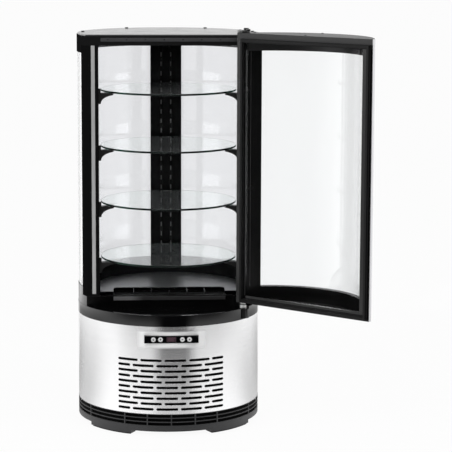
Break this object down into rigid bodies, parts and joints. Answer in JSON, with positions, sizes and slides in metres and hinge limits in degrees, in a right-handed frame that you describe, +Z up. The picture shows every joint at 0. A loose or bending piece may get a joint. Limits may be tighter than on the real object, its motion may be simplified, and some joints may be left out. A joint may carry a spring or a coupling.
{
  "type": "cake display case",
  "caption": "Round refrigerated counter case with curved glass, round glass shelves and a hinged bow door over a steel machine base.",
  "frame": {"origin": "on the case's axis at the level of the counter it stands on", "axes": "+Z up, -Y towards the doorway, +X towards the hinge side"},
  "size_m": [0.7083, 0.6138, 1.0006],
  "materials": {
    "base_plastic": "fine moulded grain",
    "black_frame": "satin",
    "black_steel": "satin",
    "board": "solder mask",
    "box_grey": "powder coat",
    "bright_metal": "plated",
    "bush": "nylon",
    "button_metal": "satin",
    "compressor_black": "stove enamel",
    "copper": "drawn copper",
    "display": "dark red window",
    "door_frame": "satin",
    "fan_plastic": "moulded",
    "fin_aluminium": "mill finish",
    "floor_steel": "brushed",
    "foam": "foam skin",
    "gloss_black": "polished",
    "motor_grey": "satin",
    "pane_glass": "clear",
    "panel_black": "powder coat",
    "rubber": "matt rubber",
    "shelf_glass": "clear with green edge",
    "spacer": "black anodised",
    "standard_dark": "satin",
    "steel": "brushed along the round",
    "strike": "satin",
    "strip_dark": "satin",
    "strip_light": "satin",
    "top_gloss": "polished"
  },
  "bodies": {
    "cabinet": {"base_tray": "base_plastic", "rubber_feet": "rubber", "steel_wrap": "steel", "rear_panel": "panel_black", "control_bezel": "gloss_black", "display_window": "display", "control_board": "board", "compressor": "compressor_black", "condenser": "compressor_black", "fan_shroud": "fan_plastic", "condenser_fan_motor": "motor_grey", "refrigerant_pipes": "copper", "drip_tray": "fan_plastic", "electric_box": "box_grey", "cable_gland": "rubber", "rim_deck": "gloss_black", "insulated_well": "foam", "evaporator": "fin_aluminium", "evaporator_fan_motor": "motor_grey", "lower_ring": "black_frame", "sill_strip": "strip_light", "floor_plate": "floor_steel", "vent_grille": "black_frame", "inner_liner": "black_frame", "jamb_left": "black_frame", "jamb_right": "black_frame", "strike_strip": "strike", "shelf_standards": "standard_dark", "side_panes_outer": "pane_glass", "side_panes_inner": "pane_glass", "side_pane_spacers": "spacer", "rear_column": "black_frame", "top_cap": "black_frame", "cap_plate": "top_gloss", "header_strip": "strip_dark", "trim_screws": "black_steel", "hinge_plate": "black_steel", "hinge_pins": "bright_metal", "shelf_brackets_side": "black_steel", "shelf_brackets_rear": "black_steel"},
    "door": {"door_bow_top": "door_frame", "door_bow_low": "door_frame", "door_stile_hinge": "door_frame", "door_stile_free": "door_frame", "door_pane_outer": "pane_glass", "door_pane_inner": "pane_glass", "door_pane_spacer": "spacer", "door_seal": "rubber", "door_hinge_bushes": "bush", "door_edge_trim": "strip_light"},
    "shelf_1": {"glass_shelf_1": "shelf_glass"},
    "shelf_2": {"glass_shelf_2": "shelf_glass"},
    "shelf_3": {"glass_shelf_3": "shelf_glass"},
    "shelf_4": {"glass_shelf_4": "shelf_glass"},
    "push_button_1": {"button_1": "button_metal"},
    "push_button_2": {"button_2": "button_metal"},
    "push_button_3": {"button_3": "button_metal"},
    "push_button_4": {"button_4": "button_metal"},
    "machine_fan": {"condenser_fan": "fan_plastic"},
    "cold_fan": {"evaporator_fan": "fan_plastic"}
  },
  "joints": [
    {"name": "door_hinge", "type": "hinge", "parent": "cabinet", "child": "door", "pos_m": [0.18449, -0.118, 0.65], "axis": [0, 0, 1], "range_deg": [-139, 3]},
    {"name": "shelf_1_lift", "type": "slide", "parent": "cabinet", "child": "shelf_1", "axis": [0, 0, 1], "range_m": [0, 0.02]},
    {"name": "shelf_2_lift", "type": "slide", "parent": "cabinet", "child": "shelf_2", "axis": [0, 0, 1], "range_m": [0, 0.02]},
    {"name": "shelf_3_lift", "type": "slide", "parent": "cabinet", "child": "shelf_3", "axis": [0, 0, 1], "range_m": [0, 0.02]},
    {"name": "shelf_4_lift", "type": "slide", "parent": "cabinet", "child": "shelf_4", "axis": [0, 0, 1], "range_m": [0, 0.02]},
    {"name": "button_1_press", "type": "slide", "parent": "cabinet", "child": "push_button_1", "axis": [0, 1, 0], "range_m": [0, 0.001], "stiffness_N_per_m": 600, "springref_m": -0.0005},
    {"name": "button_2_press", "type": "slide", "parent": "cabinet", "child": "push_button_2", "axis": [0, 1, 0], "range_m": [0, 0.001], "stiffness_N_per_m": 600, "springref_m": -0.0005},
    {"name": "button_3_press", "type": "slide", "parent": "cabinet", "child": "push_button_3", "axis": [0, 1, 0], "range_m": [0, 0.001], "stiffness_N_per_m": 600, "springref_m": -0.0005},
    {"name": "button_4_press", "type": "slide", "parent": "cabinet", "child": "push_button_4", "axis": [0, 1, 0], "range_m": [0, 0.001], "stiffness_N_per_m": 600, "springref_m": -0.0005},
    {"name": "machine_fan_spin", "type": "hinge", "parent": "cabinet", "child": "machine_fan", "pos_m": [0, -0.1327, 0.106], "axis": [0, 1, 0], "continuous": true},
    {"name": "cold_fan_spin", "type": "hinge", "parent": "cabinet", "child": "cold_fan", "pos_m": [0, -0.005, 0.264], "axis": [0, 0, 1], "continuous": true}
  ]
}
